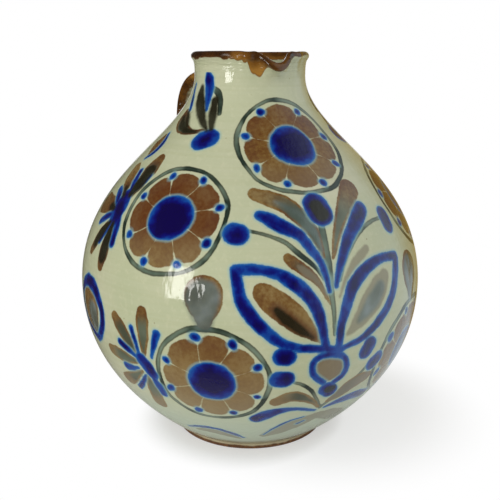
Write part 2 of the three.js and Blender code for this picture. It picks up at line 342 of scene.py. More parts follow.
collar_outline = np.vstack(
    [
        outside_wall(AT_COLLAR, AT_LIP, NECK_STEP),
        tongue(AT_LIP, LIP_LAP),
        inside_wall(AT_LIP + LIP_LAP, AT_COLLAR + COLLAR_LAP + SLIP, NECK_INSIDE_STEP)[1:],
        skirt(AT_COLLAR, COLLAR_LAP),
    ]
)
collar = fired("collar_glazed", thrown(collar_outline, NECK_TURNS))

at_crown = AT_END - LIP_ROUND
crown_turn = np.linspace(0, math.pi, CROWN_STEPS + 1)
crown = [in_wall(at_crown + LIP_ROUND * math.sin(a), LIP_ROUND - LIP_ROUND * math.cos(a)) for a in crown_turn]
lip_outline = np.vstack(
    [
        outside_wall(AT_LIP, at_crown, NECK_STEP)[:-2],
        *crown,
        inside_wall(at_crown, AT_LIP + LIP_LAP, NECK_STEP)[1:],
        skirt(AT_LIP, LIP_LAP),
    ]
)
lip = fired("lip_glazed", thrown(lip_outline, NECK_TURNS))

# %% [markdown]
# ## Handle
# The handle is a strap pulled from a lump of clay: an oval in section, with a shallow groove where the
# thumb ran down its back. Here it is a row of circles, each squashed into that oval and set square to the
# strap's line, with bridged loops between them. At both roots the strap widens, and its last ring is
# pressed onto the wall as the potter's thumb does it.

# %% Handle line
HANDLE_WIDTH = 26.0
HANDLE_THICKNESS = 11.0
HANDLE_SKEW = math.radians(5)
UPPER_ROOT_HEIGHT = 246.0
UPPER_ROOT_DEPTH = 2.5
LOWER_ROOT_RADIUS = 88.0
LOWER_ROOT_DEPTH = 3.0
UPPER_PULL = [40, 22]  # out and up from the root
LOWER_PULL = [30, 48]
STRAP_RINGS = 72
STRAP_SIDES = 40

above_belly = climb > AT_BELLY
at_upper_root = np.interp(UPPER_ROOT_HEIGHT, wall[above_belly, 1], climb[above_belly])
at_lower_root = np.interp(-LOWER_ROOT_RADIUS, -wall[above_belly, 0], climb[above_belly])
upper_root = in_wall(at_upper_root, UPPER_ROOT_DEPTH)[0]
lower_root = in_wall(at_lower_root, LOWER_ROOT_DEPTH)[0]
strap_line = bowed(upper_root, upper_root + UPPER_PULL, lower_root + LOWER_PULL, lower_root)
strap_climb, strap_slope = measured(strap_line)
strap_share = np.linspace(0, 1, STRAP_RINGS)
strap_at = strap_share * strap_climb[-1]
strap_centre = np.column_stack([np.interp(strap_at, strap_climb, column) for column in strap_line.T])
strap_along = np.column_stack([np.interp(strap_at, strap_climb, column) for column in strap_slope.T])
print("strap is", round(strap_climb[-1]), "mm long")

# %% Handle rings and skin
ROOT_SPREAD = 0.3  # how much wider the strap is at its roots
ROOT_SHARE = 0.16  # share of the strap that each root takes
ROOT_PRESS = 6  # the pressed end is this part of a root
ROOT_SINK = 1.2  # how far the ends go into the wall
THUMB_DEPTH = 0.16  # the groove, as shares of half the thickness and half the width
THUMB_HALF = 0.42
HANDLE_CRISP = 60


def smooth(share):
    """A soft step from 0 to 1."""
    share = np.clip(share, 0, 1)
    return share * share * (3 - 2 * share)


strap = bmesh.new()
strap_edges = []
strap_back = []  # how far each point is towards the outer face, from -1 to 1
for ring in range(STRAP_RINGS):
    capped = ring in (0, STRAP_RINGS - 1)
    circle = bmesh.ops.create_circle(strap, cap_ends=capped, segments=STRAP_SIDES, radius=1)["verts"]
    to_root = min(strap_share[ring], 1 - strap_share[ring]) / ROOT_SHARE
    swell = 1 + ROOT_SPREAD * (1 - smooth(to_root))
    pressed = 1 - smooth(to_root * ROOT_PRESS)
    for vert in circle:
        side, back = vert.co.x, vert.co.y
        thumb = THUMB_DEPTH * math.exp(-((side / THUMB_HALF) ** 2)) * max(back, 0)
        out = HANDLE_THICKNESS / 2 * swell * (back - thumb)
        across = HANDLE_WIDTH / 2 * swell * side
        reach = strap_centre[ring][0] - out * strap_along[ring][1]
        height = strap_centre[ring][1] + out * strap_along[ring][0]
        onto_wall = (wall_radius(height) - ROOT_SINK) / math.hypot(reach, across)
        shift = 1 + pressed * (onto_wall - 1)
        vert.co = (-reach * shift * MM, across * shift * MM, height * MM)
        strap_back.append(back)
    strap_edges.append(list({edge for vert in circle for edge in vert.link_edges}))
for lower_edges, upper_edges in zip(strap_edges, strap_edges[1:]):
    bmesh.ops.bridge_loops(strap, edges=lower_edges + upper_edges)
skewed = Matrix.Rotation(HANDLE_SKEW, 3, "Z")
bmesh.ops.rotate(strap, cent=(0, 0, 0), matrix=skewed, verts=strap.verts)
bmesh.ops.recalc_face_normals(strap, faces=strap.faces)
handle = fired("handle_strap", strap, HANDLE_CRISP)

# %% [markdown]
# ## The painting: where a brush goes
# The jug is painted by hand under the glaze, with cobalt blue, an iron brown that dries olive where it is
# thick, and a thin grey-green. A brush mark is a line of places on the wall, each a turn from the spout in
# degrees, a height and the half width of the brush there, both in millimetres. For every point of the fine
# skin the distance to the edge of the nearest mark is stored, below zero inside it. Distances blend well
# between points, so the finish can draw a clean edge, a pale rim or a deep middle from them at any scale.

# %% Brush marks
MARKS = {"cobalt": [], "leaf": [], "brown": [], "stem": [], "olive": [], "grey": [], "wash": []}
# A repeat is a sign for the turn and degrees to add, so that a mark can be mirrored
FRONT_AND_BACK = [(1, 0), (1, 180)]
BOTH_SIDES = [(1, 0), (-1, 0)]
ALL_ROUND = [(1, 0), (-1, 0), (-1, 180), (1, 180)]
NECK_SPRAYS = BOTH_SIDES + [(1, -70), (-1, 70)]
BRUSH_STEPS = 8  # points of a line for each place


def flowing(values, count):
    """Runs smoothly through the values, as many as count, like a flexible ruler."""
    padded = np.vstack([2 * values[0] - values[1], values, 2 * values[-1] - values[-2]])
    share = np.linspace(0, len(values) - 1, count)
    start = np.minimum(share.astype(int), len(values) - 2)
    step = (share - start)[:, None]
    before, here, there, after = (padded[start + i] for i in range(4))
    bend = 2 * before - 5 * here + 4 * there - after
    twist = 3 * (here - there) + after - before
    return here + 0.5 * step * ((there - before) + step * (bend + step * twist))


def brush(motif, repeats):
    """Lays all the marks of a motif, which lists them by paint."""
    for paint, marks in motif.items():
        for mark in marks:
            places = np.array(mark, float)
            count = BRUSH_STEPS * len(places)
            line = flowing(places[:, :2], count)
            share = np.linspace(0, 1, len(places))
            width = np.interp(np.linspace(0, 1, count), share, places[:, 2])
            radius = wall_radius(line[:, 1])
            for sign, added in repeats:
                angle = np.radians(sign * line[:, 0] + added)
                points = [radius * np.cos(angle), radius * np.sin(angle), line[:, 1]]
                MARKS[paint].append((np.column_stack(points), width))


print("paints:", ", ".join(MARKS))

# %% [markdown]
# ### The palmette under the spout
# Below the spout a plant rises from a ringed bud: two large leaves drawn as outlines with a filled leaf in
# each, and above them a fan of brown and blue leaves. It is drawn freehand, so the two halves are alike
# but not equal, and each half has its own marks. The same plant is laid again behind, under the handle.

# %% Palmette, left half
PALMETTE_LEFT = {
    "stem": [
        [(0, 169, 2.2), (-0.5, 158, 2.8), (-0.5, 147, 2.8), (-0.5, 133, 2.2), (0, 121, 1.6),
         (0.5, 106, 1.2)],
        [(-2.4, 139.5, 0.9), (-4.5, 146.5, 1.3), (-7, 151, 1.6), (-10, 156, 1.7), (-13, 161, 1.5),
         (-16.5, 164, 1.3), (-21, 166.5, 1.2), (-25, 168, 1.2)],
    ],
    "cobalt": [
        [(0.2, 180, 8.7), (1, 175.5, 8.7)],
        [(-2, 97.5, 2.9), (-7, 99, 2.8), (-11, 100.5, 2.9), (-15.5, 104, 3.4), (-19, 110, 3.9),
         (-22.5, 117, 4.4), (-25, 124, 4.5), (-27, 132, 4), (-28.5, 146, 3.5)],
        [(-28.5, 147, 3.5), (-24, 147.5, 3.5), (-20, 146.5, 3.2), (-16, 144.5, 3.5), (-13, 141, 4.6),
         (-9.5, 135.5, 4.4), (-6.5, 128, 4.2), (-4.5, 119.5, 4)],
        [(-4.5, 119.5, 4), (-3.3, 110, 3), (-2.2, 99, 2.8)],
        [(-1, 133, 1.6), (-2, 144, 2.3), (-3.5, 152, 2.6), (-5.5, 157.5, 3.1), (-8, 164, 3.7),
         (-11, 167.5, 4.3), (-14.5, 170.5, 4.9), (-17.5, 173.5, 4.5), (-21, 176, 3.5)],
        [(-29.4, 166.4, 7), (-28.2, 166, 7)],
    ],
    "olive": [
        [(0.5, 179, 5), (1.3, 175, 5)],
        [(-6.5, 106, 1.2), (-10, 111.5, 2.8), (-14, 118, 3.4), (-17, 124.5, 2)],
    ],
    "brown": [
        [(-3, 101.5, 1), (-5, 105.5, 2.7), (-9, 113, 6), (-11, 117, 7.5), (-13.5, 122, 8.3),
         (-16.5, 127, 8.2), (-19, 131.5, 7.4), (-21, 135, 5.6)],
    ],
    "leaf": [
        [(-1.7, 152, 1.4), (-2.4, 160, 3), (-4.2, 168, 4.6), (-7, 174.5, 5.6), (-11.5, 181, 6),
         (-17, 184.5, 5.4), (-22.5, 187, 4.4)],
        [(-1, 125, 0.7), (-3, 133.5, 1.6), (-5, 140, 2.3), (-8, 145.5, 3.5), (-11, 149.5, 3.8),
         (-13, 153, 3)],
    ],
    "grey": [[(-2, 156, 1.6), (-3, 163, 3), (-5, 170, 3.8), (-9, 177, 3.4), (-15, 183, 0.6)]],
    "wash": [[(-2, 130, 0.8), (-5, 140, 2), (-8, 145, 2.6), (-10, 148, 1)]],
}
brush(PALMETTE_LEFT, FRONT_AND_BACK)

# %% Palmette, right half
PALMETTE_RIGHT = {
    "cobalt": [
        [(4, 96, 2.2), (6.5, 97.5, 2.1), (10, 99, 2.6), (14, 103.5, 3.4), (17.5, 108.5, 3.8),
         (21, 114.5, 3.8), (23.5, 121, 3.7), (25.5, 128, 3.6), (28.5, 143, 3.6)],
        [(28.5, 144, 3.4), (25.5, 145, 3.2), (20, 145.5, 3.1), (15, 143.5, 4), (11, 140, 4.5),
         (7.5, 134.5, 4.7), (5.5, 128, 4.4), (4, 120, 3.7), (2.7, 112, 3.1)],
        [(2.7, 113, 3.1), (2.4, 105, 3), (2.2, 98, 2.8)],
        [(-2.3, 97.5, 2.8), (3, 95, 2.8)],
        [(1.3, 135, 1.7), (2.7, 143.5, 2.6), (5, 151, 3.3), (8, 159, 4), (12, 165.5, 4.7),
         (16.5, 171, 5.6), (20, 175, 5.2)],
        [(31, 168.5, 6.2), (31, 162.5, 6.2)],
    ],
    "wash": [
        [(5, 105, 1.6), (7, 108.5, 3.6), (9.5, 113, 5.8), (12, 118.5, 7.8), (15, 124, 8.8),
         (17.5, 129, 8), (20.5, 135, 4.6)],
        [(2.3, 129, 1), (4, 135.5, 1.4), (6.3, 141.5, 1.9), (9, 146.5, 2.8), (12, 150, 3.2),
         (15, 153, 2.7)],
    ],
    # this grey is partly a painted reflection, a pale bluish sheen on the right inner leaf
    "grey": [[(9, 112, 2), (12, 117.5, 4.4), (15, 123, 5.6), (18, 129, 4.4)]],
    "leaf": [
        [(1.6, 151, 1.3), (3.3, 158, 2.4), (5.7, 165.5, 3.4), (9, 172.5, 4.5), (12.5, 178, 5.8),
         (16.5, 183, 7), (19.5, 186.5, 7)],
    ],
    "stem": [
        [(2.8, 138, 1.1), (4.6, 146, 1.4), (7.4, 153, 1.7), (11, 159, 1.7), (16, 164, 1.6),
         (22.5, 167, 1.5), (29, 167.5, 1.3)],
    ],
}
brush(PALMETTE_RIGHT, FRONT_AND_BACK)

# %% Bud and lower spray of the palmette
PALMETTE_FOOT = {
    "cobalt": [
        [(-0.9, 72.5, 2.2), (-4.6, 79, 2.2), (-5.8, 86, 2.4), (-5, 90.5, 2.5), (-2.5, 93, 2.6),
         (1.3, 92.7, 2.7), (4.8, 89, 2.1), (6.3, 82, 2.2), (5.6, 75.5, 2.4), (3, 72, 2.4)],
        [(0.9, 67, 5.8), (2.4, 64.5, 5.8)],
        [(-15.1, 95.1, 6.4), (-13.9, 94.9, 6.4)],
        [(-15.6, 79.3, 6.3), (-13.8, 79, 6.3)],
        [(13.3, 89.8, 6.4), (14.2, 92.8, 6.4)],
        [(18.1, 78, 6), (19.7, 80, 6)],
        [(0, 48, 1.2), (-6.6, 52, 1.7), (-11, 53, 2.4), (-15, 52, 4), (-18.6, 49.3, 5.4),
         (-21.6, 46, 5.2)],
        [(-3.5, 43, 0.6), (-9.3, 40, 1.1), (-14.4, 32.7, 1.2), (-17.8, 24.5, 0.8)],
        [(-2.5, 37.5, 1.2), (-4.5, 35.5, 1.6)],
        [(3.8, 49.4, 1.5), (7.7, 51.3, 2.8), (13, 52.5, 4.3), (18.6, 51.7, 4.6), (24, 49, 4)],
    ],
    "brown": [[(-0.6, 83, 9.4), (1.2, 82.6, 9.4)]],
    "wash": [
        [(-0.4, 83, 8.4), (1, 82.6, 8.4)],
        [(3.5, 42, 4), (-2, 38, 6.8), (-7, 34, 8.4), (-12, 29, 7.4), (-17, 23.5, 3.6)],
        [(0, 38, 3), (-6, 34, 5), (-11, 30, 4)],
        [(5, 57, 2.4), (10, 63.5, 5.6), (17, 67.5, 3.8)],
        [(3.4, 41, 4), (8, 39.5, 6.5), (14, 35, 7), (20, 29, 4)],
    ],
    "olive": [[(1.8, 66, 3.4), (3, 66, 3.2)]],
    "stem": [
        [(-11.5, 76.5, 1.1), (-8, 73.5, 1.3), (-4.5, 67.5, 1.4), (-1.7, 59.5, 1.3), (1.6, 49.7, 1.2)],
        [(15.5, 77, 1.4), (12, 70, 1.5), (9, 64, 1.5), (6, 58, 1.5), (1.7, 51, 1.6)],
    ],
    "leaf": [
        [(0.5, 51, 1.1), (-2.5, 57, 2), (-6, 61.5, 3.6), (-9.7, 64.5, 4.8), (-13, 63.7, 4.9),
         (-15.8, 61.3, 4.2)],
        [(3.3, 55, 1.5), (6.7, 58.6, 4.2), (10, 63.5, 6), (13.6, 67, 6.2), (17.6, 67.5, 4.4)],
    ],
}
brush(PALMETTE_FOOT, FRONT_AND_BACK)
print("palmette:", {paint: len(marks) for paint, marks in MARKS.items()})

# %% [markdown]
# ### Sprays and single leaves
# Each side rosette has a burst of leaves beside it, and so has each lower rosette. A small spray stands on
# the neck over the side rosettes, a round bud sits on each lower rosette, and single outlined leaves fill
# the gaps. These repeat as mirror images on the other side of the spout, and most of them again behind.

# %% Side spray
SIDE_SPRAY = {
    "cobalt": [
        [(-80.6, 179.5, 5.8), (-80.4, 173, 8.2), (-80, 166, 6.6)],
        [(-80, 182, 1.8), (-82, 188, 2.8), (-83.8, 194, 2.5)],
        [(-85.5, 175, 2.2), (-88, 179, 3.5), (-91, 181.5, 2.8)],
        [(-83, 168.5, 2), (-88, 164, 3.3), (-91, 161, 2.8)],
        [(-80.7, 165, 1.8), (-82.4, 158, 3), (-84.2, 151, 2.5)],
        [(-77, 168, 2), (-76.1, 161, 3.4), (-75.3, 152.5, 3.2)],
        [(-77, 184, 1.4), (-74.3, 189.5, 2), (-73.1, 193, 1.4)],
    ],
    "leaf": [
        [(-78.4, 180, 3.4), (-77.2, 188, 6.4), (-76.2, 196, 7.2), (-75.3, 202.5, 4.4)],
        [(-82, 164, 2.2), (-85.5, 154, 5.4), (-89, 143, 3.4)],
        [(-79.6, 164, 2.4), (-79.3, 154, 5), (-78.9, 145.5, 6), (-79.1, 137, 3.8)],
    ],
    "brown": [
        [(-83, 179, 2.4), (-86.5, 185, 5.4), (-89.5, 191, 6.2), (-91.5, 194.5, 4.6)],
        [(-84.5, 171, 2.8), (-91, 171.5, 7), (-98, 171, 8)],
    ],
    "olive": [
        [(-78.6, 181, 2.8), (-77.2, 188, 5.6), (-76.3, 195, 5.4)],
        [(-83, 179, 1.8), (-85.4, 183.5, 2.4)],
        [(-84.5, 171, 2), (-88, 171.5, 3)],
        [(-82, 163, 1.8), (-85.2, 155, 4.4), (-87.4, 148, 3)],
        [(-79.6, 163, 2), (-79.3, 154, 4.4), (-79, 143.5, 5)],
    ],
}
brush(SIDE_SPRAY, BOTH_SIDES)

# %% Lower spray
LOWER_SPRAY = {
    "cobalt": [
        [(-59.4, 85, 4.8), (-57.6, 80.5, 5.4), (-56.2, 75, 4.4)],
        [(-55, 88, 1.1), (-53.4, 97.5, 2.2), (-52.1, 105, 3.1)],
        [(-59.7, 87.5, 1.3), (-60.5, 97, 2), (-61.7, 105.5, 2.2)],
        [(-60.8, 85, 1.4), (-64.4, 89, 2.7), (-67.5, 92.4, 2.9)],
        [(-61.6, 77, 1.2), (-65, 75.5, 2.7), (-67.6, 74.6, 3.5)],
        [(-59.3, 72.7, 1.1), (-63, 64, 2.3), (-65.8, 59, 2.2)],
        [(-56.7, 73.4, 1.8), (-55.2, 66.3, 3.2), (-54.4, 60, 2.8)],
    ],
    "leaf": [
        [(-57.8, 88.5, 1.8), (-57.2, 100.5, 4.4), (-57.1, 111, 5.2), (-57.2, 117.5, 3.7)],
        [(-61, 88.5, 1.8), (-64, 96.5, 4.8), (-67, 105, 5), (-68.6, 109, 3.8)],
        [(-61.3, 82, 1.8), (-66.2, 81.8, 4.8), (-71, 83, 5.2), (-73.6, 83.5, 4.2)],
        [(-60.6, 75, 1.7), (-66, 67.7, 4.5), (-70.6, 62.8, 5.4)],
        [(-58.7, 71.5, 2), (-58.4, 61, 5.4), (-59.4, 49, 5.4)],
    ],
}
brush(LOWER_SPRAY, ALL_ROUND)

# %% Neck spray
NECK_SPRAY = {
    "cobalt": [
        [(-53.6, 214.8, 7.6), (-50, 216.6, 7.6)],
        [(-62, 233, 1.3), (-65, 240, 2.8), (-67, 246.5, 4.2), (-68.6, 252, 4.4), (-69.6, 254.5, 3)],
    ],
    "olive": [
        [(-53.5, 221, 1.6), (-62, 227.5, 3.2), (-71.5, 235.5, 4.4), (-77, 242, 4), (-78, 246.5, 2.4)],
        [(-51, 222, 2.4), (-54.5, 231, 3.4), (-56.8, 239, 2.8)],
        [(-62, 219.8, 1.4), (-72, 220.2, 2.6), (-80, 223, 3.2), (-85, 227.5, 1.8)],
        [(-73, 222.5, 2), (-78, 227, 2.6), (-83, 231, 1.2)],
    ],
    "stem": [[(-48.6, 231, 1.4), (-51, 238.5, 2.2), (-55.5, 244, 2.4), (-62.5, 246.5, 1.8)]],
    "leaf": [
        [(-56, 220.5, 1.4), (-66, 219.5, 2.4), (-77, 221.5, 5), (-83.5, 226, 5.4), (-86.5, 231, 2.2)],
    ],
}
brush(NECK_SPRAY, NECK_SPRAYS)

# %% Single leaves at the sides, and the buds and leaves that go all round
SIDE_LEAVES = {
    "cobalt": [
        [(-82, 232, 1.2), (-88, 238, 1.8), (-93.5, 244.6, 1.6), (-93.3, 248.5, 1)],
        [(-88.4, 217, 1.2), (-85, 211, 2.2), (-86.4, 205, 2.2), (-90.6, 201, 1.2)],
        [(-87, 124, 4.6), (-82.5, 122.5, 5.2), (-79, 117.5, 4.4), (-76.5, 109, 3.6), (-77, 99, 3.2),
         (-80.5, 89, 3.2), (-83.5, 85, 2.8)],
        [(-83.5, 85, 2.8), (-90, 91, 2.7), (-94, 101, 2.6), (-94.5, 112, 2.8), (-91.5, 120, 3.5),
         (-87, 124, 4.6)],
    ],
    "brown": [
        [(-90.6, 215, 2.4), (-90.4, 209.5, 6), (-90.2, 203.5, 2.2)],
        [(-85.5, 116, 9.5), (-85.5, 107, 14), (-84.5, 95, 8.5)],
    ],
    "grey": [[(-83.5, 104, 8), (-83, 95, 6)]],
}
BUDS_AND_LEAVES = {
    "brown": [[(-37.2, 117, 5), (-37.3, 123, 7.8), (-37.4, 129, 11.2), (-37.5, 132.5, 11.8)]],
    # the grey over the bud is partly a painted reflection, a pale bluish sheen
    "grey": [[(-37.3, 116, 5.6), (-37.6, 123, 8), (-37.9, 131, 11)]],
    "cobalt": [
        [(-54, 26.5, 1), (-46.5, 30.6, 1.8), (-39.5, 31, 2), (-35.5, 28.6, 2), (-31.2, 24.6, 1.8),
         (-27.5, 19.5, 1.2)],
    ],
    "wash": [[(-50, 25, 1.5), (-44, 26.5, 4.2), (-38, 25, 5), (-33, 21.5, 3.8), (-29.5, 18, 1.4)]],
}
brush(SIDE_LEAVES, BOTH_SIDES)
brush(BUDS_AND_LEAVES, ALL_ROUND)
print("all marks:", {paint: len(marks) for paint, marks in MARKS.items()})

# %% [markdown]
# ### Rosettes
# Five rosettes show from the front: one under the spout, two on the shoulder and two low on the belly. Four
# more are placed behind. A rosette is regular, so it isn't drawn mark by mark. Each point of the skin keeps
# where it lies from the nearest rosette's middle, sideways and up the wall, and how far that is. The finish
# turns those three numbers into a blue heart, eight petals, eight dots and a ring.

# %% Rosette middles
ROSETTES = [(0, 212), (-53, 172.6), (57, 172.6), (-127, 172.6), (127, 172.6)]
ROSETTES += [(-36, 77), (38, 77), (-144, 77), (144, 77)]
TINY = 1e-9  # keeps a division from meeting zero


def rosette_places(points):
    """For each point: sideways, up the wall and straight to the middle of the nearest rosette."""
    nearest = np.full(len(points), np.inf)
    places = np.zeros((len(points), 3))
    for turn, height in ROSETTES:
        lean = np.interp(height, wall[:, 1], slope[:, 0])
        rise = np.interp(height, wall[:, 1], slope[:, 1])
        offset = points - round_jug(turn, wall_radius(height), height)
        sideways = np.array(round_jug(turn + 90, 1, 0))
        upwards = np.array(round_jug(turn, lean, rise))
        reach = np.linalg.norm(offset, axis=1)
        flat = np.column_stack([offset @ sideways, offset @ upwards])
        stretch = reach / np.maximum(np.linalg.norm(flat, axis=1), TINY)
        closer = reach < nearest
        nearest[closer] = reach[closer]
        places[closer] = np.column_stack([flat * stretch[:, None], reach])[closer]
    return places


print(len(ROSETTES), "rosettes")

# %% [markdown]
# ### Brown glaze on the rim
# The rim was dipped in a dark iron glaze that ran a little. Its edge is a depth below the crest that changes
# round the jug, with a few runs that reach lower and one thick amber drop beside the spout. Inside the
# mouth it comes down about as far. It lies thinner beside the spout and along it, so it is lighter there,
# and that lighter brown is also a painted highlight of the rolled lip. As with the brush marks, the distance
# to its edge is stored on the points.

# %% Edge of the brown glaze
# How far the brown comes down outside, as turns in degrees and depths in millimetres
RIM_TURNS = [-180, -120, -60, -38, -30, -20, -14, 14, 20, 60, 120, 180]
RIM_DEPTHS = [3.0, 3.4, 3.6, 3.2, 2.0, 2.0, 4.4, 4.4, 1.7, 1.6, 2.4, 3.0]
RIM_WAVE = 0.3
MOUTH_DEPTH = 4.5  # how far it comes down inside
MOUTH_WAVE = 1.2
MOUTH_RUNS = 0.4  # runs inside are this share of those outside
MOUTH_TURN = 60  # and they are this much further round
MOUTH_THIN = 3.0, 1.5  # thinness at the crest inside, and how much it grows with each millimetre
WAVES = [(0.5, 3, 40), (0.4, 7, 0)]  # a height, how many there are round the jug and degrees of shift
THIN_AND_HIGHLIT_PLACES = [(-34, 11, 2, 5.0), (0, 15, 4, 3.0)]  # turn, half width, power and how much thinner; the lighter brown there is partly a painted highlight
OVER_CREST = 1.2  # the crest is this much further up than the end of the wall's line
# Each run is a turn in degrees, a half width in degrees and how much lower it comes
RUNS = [(-48, 4, 2.0), (-41, 3, 1.6), (-35, 4, 3.2), (-29, 3, 4.6), (-18.5, 8, 12.5), (103, 4, 3.0)]
RUNS += [(131, 6, 1.4), (156, 4, 2.6), (-88, 6, 1.2), (-112, 4, 2.4), (-149, 5, 1.8)]


def bulge(turns, middle, half_width, power=4):
    """1 at the middle turn, and near 0 past the half width. A higher power has a flatter top."""
    away = (turns - middle + 180) % 360 - 180
    return np.exp(-((away / half_width) ** power))


def run_depth(turns):
    """How much lower the runs bring the edge at each turn."""
    return np.max([lower * bulge(turns, middle, half) for middle, half, lower in RUNS], axis=0)


def rim_glaze(turns, along, outer):
    """Distance to the brown's edge, below zero where it covers, and how thin it has run plus painted
    highlight.
    """
    wave = sum(high * np.sin(np.radians(count * turns + shift)) for high, count, shift in WAVES)
    outside_edge = np.interp(turns, RIM_TURNS, RIM_DEPTHS) + RIM_WAVE * wave + run_depth(turns)
    inside_edge = MOUTH_DEPTH + MOUTH_WAVE * wave + MOUTH_RUNS * run_depth(turns + MOUTH_TURN)
    below_crest = AT_END + OVER_CREST - along
    edge = below_crest - np.where(outer, outside_edge, inside_edge)
    thinned_and_highlit = sum(more * bulge(turns, *place) for *place, more in THIN_AND_HIGHLIT_PLACES)
    return edge, np.where(outer, below_crest + thinned_and_highlit, MOUTH_THIN[0] + MOUTH_THIN[1] * below_crest)


print("brown rim:", max(RIM_DEPTHS), "mm outside and", MOUTH_DEPTH, "mm inside, with", len(RUNS), "runs")

# %% [markdown]
# ### Distances on the points
# Every point of the skin is measured against each short step of each mark near it. The nearest one wins. The
# numbers go into attributes of the mesh, where the finish finds them by name.

# %% Distance to the nearest mark
FAR = 12.0  # millimetres past which the distance to a mark no longer matters


def distance_to(points, marks):
    """Distance from each point to the edge of the nearest mark, and how far along that mark it is."""
    best = np.full(len(points), FAR)
    reach = np.zeros(len(points))
    for line, width in marks:
        low = line.min(axis=0) - FAR - width.max()
        high = line.max(axis=0) + FAR + width.max()
        near = np.flatnonzero(np.all((points > low) & (points < high), axis=1))
        if len(near) == 0:
            continue
        spot = points[near]
        for i in range(len(line) - 1):
            step = line[i + 1] - line[i]
            share = np.clip((spot - line[i]) @ step / max(step @ step, TINY), 0, 1)
            gap = np.linalg.norm(spot - line[i] - share[:, None] * step, axis=1)
            gap -= width[i] + share * (width[i + 1] - width[i])
            closer = gap < best[near]
            best[near[closer]] = gap[closer]
            reach[near[closer]] = (i + share[closer]) / (len(line) - 1)
    return best, reach


# %% Store the painting on a piece
SKIN_GAP = 0.02  # a point this close to the outline is on the painted skin
NO_ROSETTE = [60.0, 0.0, 60.0]


def store(mesh, name, values):
    """Keeps one number, or one triple, for each point of a mesh."""
    kind, key = ("FLOAT_VECTOR", "vector") if values.ndim == 2 else ("FLOAT", "value")
    layer = mesh.attributes.new(name, kind, "POINT")
    layer.data.foreach_set(key, np.ascontiguousarray(values, np.float32).ravel())


def points_of(mesh):
    """The points of a mesh in millimetres, with the radius and the turn in degrees of each."""
    flat = np.empty(3 * len(mesh.vertices), np.float32)
    mesh.vertices.foreach_get("co", flat)
    points = flat.reshape(-1, 3).astype(float) / MM
    turns = np.degrees(np.arctan2(points[:, 1], points[:, 0]))
    return points, np.hypot(points[:, 0], points[:, 1]), turns


def paint(piece):
    """Stores the distance to each kind of mark, to the rosettes and to the brown rim."""
    points, radius, turns = points_of(piece.data)
    skin = (np.abs(radius - wall_radius(points[:, 2])) < SKIN_GAP) & (points[:, 2] > FOOT_HEIGHT)
    for name, marks in MARKS.items():
        distance, reach = np.full(len(points), FAR), np.zeros(len(points))
        distance[skin], reach[skin] = distance_to(points[skin], marks)
        store(piece.data, name, distance)
        if name == "leaf":
            store(piece.data, "leaf_reach", reach)
    places = np.tile(NO_ROSETTE, (len(points), 1))
    places[skin] = rosette_places(points[skin])
    store(piece.data, "rosette", places)
    along = np.interp(points[:, 2], wall[:, 1], climb)
    outer = radius > np.interp(along, climb, wall[:, 0]) - thickness(along) / 2
    edge, rim_fall_and_highlight = rim_glaze(turns, along, outer)
    store(piece.data, "iron", edge)
    store(piece.data, "iron_thinness_and_highlight", rim_fall_and_highlight)
    print(piece.name, "carries paint on", int(skin.sum()), "points")


for piece in (lower_bowl, shoulder, collar, lip):
    paint(piece)

# %% [markdown]
# ## Pinching the spout
# While the rim is still soft the potter pulls it outwards with one finger and holds it on both sides with
# two others. That bends the wall on an arc and leaves a fold on either side of the trough. Moving points
# along that arc keeps the thickness of the wall, which a plain shift would not.

# %% Bend the rim into a spout
HEIGHT_OF_CREST = 270.0
SPOUT_DEPTH = 24.0
SPOUT_BEND = 62.0  # degrees that the crest leans out in the middle of the trough
SPOUT_SHORTENING = 0.15  # share of its length that the wall loses there
SPOUT_HALF = 22.0  # degrees from the middle of the trough to the end of its side
FOLD_BEND, FOLD_TURN, FOLD_HALF = 13.0, 26.0, 11.0  # degrees of lean, of turn and of half width


def hump(value):
    """A smooth hump that is 1 at 0 and ends at -1 and 1."""
    return np.cos(np.clip(value, -1, 1) * math.pi / 2) ** 2


def pinch(piece):
    """Rolls the rim outwards into a trough with a fold on either side."""
    points, radius, turns = points_of(piece.data)
    hinge = HEIGHT_OF_CREST - SPOUT_DEPTH
    middle = NECK_RING[0] - NECK_WALL / 2
    trough = hump(np.abs(turns) / SPOUT_HALF)
    fold = hump((np.abs(turns) - FOLD_TURN) / FOLD_HALF)
    rise = np.maximum(points[:, 2] - hinge, TINY)
    lean = np.radians(SPOUT_BEND * trough + FOLD_BEND * fold) * rise / SPOUT_DEPTH
    lean = np.maximum(lean, TINY)
    length = rise * (1 - SPOUT_SHORTENING * trough)
    off = radius - middle
    bent = middle + length * (1 - np.cos(lean)) / lean + off * np.cos(lean)
    moved = points * (bent / radius)[:, None]
    moved[:, 2] = hinge + length * np.sin(lean) / lean - off * np.sin(lean)
    above = points[:, 2] > hinge
    points[above] = moved[above]
    piece.data.vertices.foreach_set("co", (points * MM).astype(np.float32).ravel())
    piece.data.update()
    print(piece.name, "bent at", int(above.sum()), "points")


for piece in (collar, lip):
    pinch(piece)

# %% Brown glaze on the handle
HANDLE_COVER = 4.0  # the brown ends this far past each point of the outer face
INNER_LOSS = 5.0  # and this much sooner in the middle of the inner face
HANDLE_THIN = 4.5  # thinness of the brown along the strap
ARCH_THIN = 6.0  # how much thinner it is over the arch
ARCH_SHARE, ARCH_HALF = 0.2, 0.12  # where the arch is on the strap

inner_side = np.minimum(strap_back, 0)
over_arch = np.exp(-(((strap_share - ARCH_SHARE) / ARCH_HALF) ** 2))
store(handle.data, "iron", -HANDLE_COVER - INNER_LOSS * inner_side)
store(handle.data, "iron_thinness_and_highlight", np.repeat(HANDLE_THIN + ARCH_THIN * over_arch, STRAP_SIDES))
print("handle is brown on", len(inner_side), "points")

# %% [markdown]
# ## Finishes
# All the finishes are built from nodes. What comes out of a node is wrapped so that it can be added or
# multiplied like a plain number, and a few helpers add the other nodes. Each recipe below then reads as a
# list of layers from the clay upwards. Colours are written as they look and turned into linear light.


